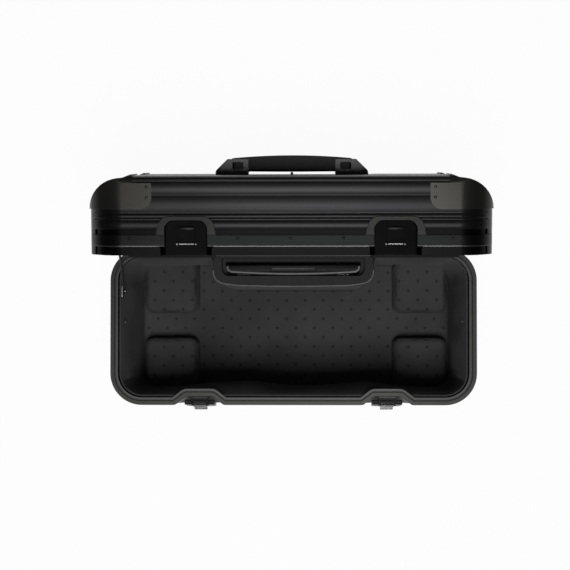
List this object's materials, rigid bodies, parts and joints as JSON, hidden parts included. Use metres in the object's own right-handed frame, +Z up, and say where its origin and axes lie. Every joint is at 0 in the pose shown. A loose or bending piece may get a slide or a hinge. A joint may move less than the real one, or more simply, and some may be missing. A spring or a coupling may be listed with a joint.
{
  "type": "aluminium attache case",
  "caption": "Deep top-opening aluminium attache case with a hinged ribbed lid, draw latches, lift handle, telescopic pull handle and swivel casters.",
  "frame": {"origin": "centre of the footprint of the open case, on the floor", "axes": "+X to the user's right as the latches face them, +Y to the back, +Z up"},
  "size_m": [0.4526, 0.3034, 0.4937],
  "materials": {
    "shell": "black anodised, satin",
    "frame": "dark anodised extrusion, satin",
    "cap": "dark anodised pressing, satin",
    "plastic": "black moulded",
    "steel": "satin",
    "cloth": "black woven lining on board",
    "tyre": "black"
  },
  "bodies": {
    "case": {"base_shell": "shell", "base_frame": "frame", "base_lining": "cloth", "wheel_housing_front_left": "plastic", "wheel_housing_front_right": "plastic", "wheel_housing_rear_left": "plastic", "wheel_housing_rear_right": "plastic", "tele_housing": "plastic", "tele_outer_tube_left": "steel", "tele_outer_tube_right": "steel", "hinge_base_leaf_left": "frame", "hinge_base_leaf_right": "frame", "latch_bracket_left": "frame", "latch_bracket_right": "frame", "stay_bracket": "steel"},
    "lid": {"lid_shell": "shell", "lid_frame": "frame", "lid_lining": "cloth", "lid_corner_front_left": "cap", "lid_corner_front_right": "cap", "lid_corner_rear_left": "cap", "lid_corner_rear_right": "cap", "latch_bezel_left": "cap", "latch_bezel_right": "cap", "latch_keeper_left": "plastic", "latch_keeper_right": "plastic", "latch_bar_left": "steel", "latch_bar_right": "steel", "hinge_lid_leaf_left": "frame", "hinge_lid_leaf_right": "frame", "stay_track": "steel", "carry_handle_base": "frame"},
    "carry_grip": {"carry_handle_grip": "plastic"},
    "stay_arm": {"stay_arm": "steel"},
    "tele_mid": {"tele_mid_tube_left": "steel", "tele_mid_tube_right": "steel"},
    "tele_handle": {"tele_inner_tube_left": "steel", "tele_inner_tube_right": "steel", "tele_grip": "plastic"},
    "tele_button": {"tele_button": "plastic"},
    "lever_left": {"latch_lever_left": "shell"},
    "hook_left": {"latch_hook_left": "steel"},
    "lever_right": {"latch_lever_right": "shell"},
    "hook_right": {"latch_hook_right": "steel"},
    "caster_front_left": {"caster_fork_front_left": "plastic", "caster_axle_front_left": "steel"},
    "wheel_front_left": {"wheel_hub_front_left": "plastic", "wheel_tyre_front_left": "tyre"},
    "caster_front_right": {"caster_fork_front_right": "plastic", "caster_axle_front_right": "steel"},
    "wheel_front_right": {"wheel_hub_front_right": "plastic", "wheel_tyre_front_right": "tyre"},
    "caster_rear_left": {"caster_fork_rear_left": "plastic", "caster_axle_rear_left": "steel"},
    "wheel_rear_left": {"wheel_hub_rear_left": "plastic", "wheel_tyre_rear_left": "tyre"},
    "caster_rear_right": {"caster_fork_rear_right": "plastic", "caster_axle_rear_right": "steel"},
    "wheel_rear_right": {"wheel_hub_rear_right": "plastic", "wheel_tyre_rear_right": "tyre"}
  },
  "joints": [
    {"name": "lid_hinge", "type": "hinge", "parent": "case", "child": "lid", "pos_m": [0, 0.0517, 0.2887], "axis": [1, 0, 0], "range_deg": [0, 84]},
    {"name": "stay_pivot", "type": "hinge", "parent": "case", "child": "stay_arm", "pos_m": [-0.21, -0.0043, 0.2767], "axis": [1, 0, 0], "range_deg": [0, 119.1]},
    {"name": "carry_handle_lift", "type": "slide", "parent": "lid", "child": "carry_grip", "axis": [0, 0.9945, 0.1045], "range_m": [0, 0.01]},
    {"name": "tele_lower_stage", "type": "slide", "parent": "case", "child": "tele_mid", "axis": [0, 0, 1], "range_m": [0, 0.2]},
    {"name": "tele_upper_stage", "type": "slide", "parent": "tele_mid", "child": "tele_handle", "axis": [0, 0, 1], "range_m": [0, 0.2]},
    {"name": "tele_button_press", "type": "slide", "parent": "tele_handle", "child": "tele_button", "axis": [0, 0, -1], "range_m": [0, 0.0025], "stiffness_N_per_m": 400},
    {"name": "latch_lever_left", "type": "hinge", "parent": "case", "child": "lever_left", "pos_m": [-0.1155, -0.1417, 0.2797], "axis": [-1, 0, 0], "range_deg": [0, 172]},
    {"name": "latch_hook_left", "type": "hinge", "parent": "lever_left", "child": "hook_left", "pos_m": [-0.1155, -0.1446, 0.27052], "axis": [1, 0, 0], "range_deg": [-12, 0]},
    {"name": "latch_lever_right", "type": "hinge", "parent": "case", "child": "lever_right", "pos_m": [0.1155, -0.1417, 0.2797], "axis": [-1, 0, 0], "range_deg": [0, 172]},
    {"name": "latch_hook_right", "type": "hinge", "parent": "lever_right", "child": "hook_right", "pos_m": [0.1155, -0.1446, 0.27052], "axis": [1, 0, 0], "range_deg": [-12, 0]},
    {"name": "caster_swivel_front_left", "type": "hinge", "parent": "case", "child": "caster_front_left", "pos_m": [-0.171, -0.1013, 0.05], "axis": [0, 0, 1], "continuous": true},
    {"name": "wheel_spin_front_left", "type": "hinge", "parent": "caster_front_left", "child": "wheel_front_left", "pos_m": [-0.171, -0.0923, 0.019], "axis": [1, 0, 0], "continuous": true},
    {"name": "caster_swivel_front_right", "type": "hinge", "parent": "case", "child": "caster_front_right", "pos_m": [0.171, -0.1013, 0.05], "axis": [0, 0, 1], "continuous": true},
    {"name": "wheel_spin_front_right", "type": "hinge", "parent": "caster_front_right", "child": "wheel_front_right", "pos_m": [0.171, -0.0923, 0.019], "axis": [1, 0, 0], "continuous": true},
    {"name": "caster_swivel_rear_left", "type": "hinge", "parent": "case", "child": "caster_rear_left", "pos_m": [-0.171, 0.0047, 0.05], "axis": [0, 0, 1], "continuous": true},
    {"name": "wheel_spin_rear_left", "type": "hinge", "parent": "caster_rear_left", "child": "wheel_rear_left", "pos_m": [-0.171, 0.0137, 0.019], "axis": [1, 0, 0], "continuous": true},
    {"name": "caster_swivel_rear_right", "type": "hinge", "parent": "case", "child": "caster_rear_right", "pos_m": [0.171, 0.0047, 0.05], "axis": [0, 0, 1], "continuous": true},
    {"name": "wheel_spin_rear_right", "type": "hinge", "parent": "caster_rear_right", "child": "wheel_rear_right", "pos_m": [0.171, 0.0137, 0.019], "axis": [1, 0, 0], "continuous": true}
  ],
  "couplings": [
    {"joint": "stay_pivot", "follows": "lid_hinge", "ratio": 1.4167}
  ]
}
